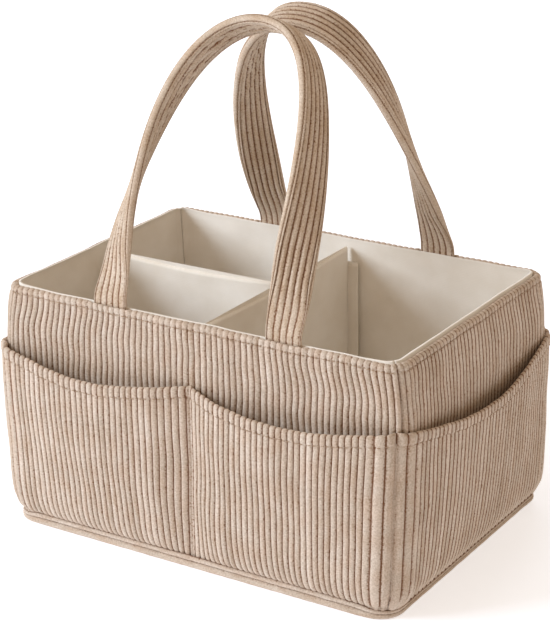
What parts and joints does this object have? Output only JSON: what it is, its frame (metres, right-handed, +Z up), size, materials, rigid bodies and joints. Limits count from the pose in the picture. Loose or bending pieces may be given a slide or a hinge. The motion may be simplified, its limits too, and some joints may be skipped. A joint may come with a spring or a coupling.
{
  "type": "diaper caddy",
  "caption": "Open soft-sided carry caddy in ribbed cord with outside pockets, padded twin handles, a cream lining and lift-out dividers.",
  "frame": {"origin": "middle of the flat underside, on the ground", "axes": "+Z up, -Y out of the long front wall, +X to the right seen from the front"},
  "size_m": [0.4234, 0.3024, 0.4474],
  "materials": {
    "cord": "wide-wale cord, matt pile",
    "cord_underside": "wide-wale cord, matt pile",
    "lining": "plain woven cotton",
    "board": "matt sheet",
    "felt": "pressed felt wadding",
    "tape": "hook and loop pile"
  },
  "bodies": {
    "tub": {"base_panel": "cord_underside", "base_board": "board", "floor_lining": "lining", "base_welt": "cord_underside", "front_panel": "cord", "front_pocket": "cord", "front_stiffener": "felt", "front_lining": "lining", "right_panel": "cord", "right_pocket": "cord", "right_stiffener": "felt", "right_lining": "lining", "back_panel": "cord", "back_pocket": "cord", "back_stiffener": "felt", "back_lining": "lining", "left_panel": "cord", "left_pocket": "cord", "left_stiffener": "felt", "left_lining": "lining", "front_handle_tail_left": "cord_underside", "front_handle_tail_right": "cord_underside", "back_handle_tail_left": "cord_underside", "back_handle_tail_right": "cord_underside", "front_loop_tape": "tape", "back_loop_tape": "tape", "left_loop_tape": "tape"},
    "front_handle": {"front_handle_face": "cord", "front_handle_backing": "cord_underside", "front_handle_core": "felt"},
    "back_handle": {"back_handle_face": "cord", "back_handle_backing": "cord_underside", "back_handle_core": "felt"},
    "cross_divider": {"cross_divider_cover": "lining", "cross_divider_board": "board", "cross_divider_hook_front": "tape", "cross_divider_hook_back": "tape", "cross_divider_loop": "tape"},
    "half_divider": {"half_divider_cover": "lining", "half_divider_board": "board", "half_divider_hook_left": "tape", "half_divider_hook_right": "tape"}
  },
  "joints": [
    {"name": "front_handle_swing", "type": "hinge", "parent": "tub", "child": "front_handle", "pos_m": [0, -0.1256, 0.22195], "axis": [1, 0, 0], "range_deg": [0, 161]},
    {"name": "back_handle_swing", "type": "hinge", "parent": "tub", "child": "back_handle", "pos_m": [0, 0.1256, 0.22195], "axis": [-1, 0, 0], "range_deg": [0, 161]},
    {"name": "cross_divider_lift", "type": "slide", "parent": "tub", "child": "cross_divider", "axis": [0, 0, 1], "range_m": [0, 0.208]},
    {"name": "half_divider_lift", "type": "slide", "parent": "tub", "child": "half_divider", "axis": [0, 0, 1], "range_m": [0, 0.208]}
  ]
}
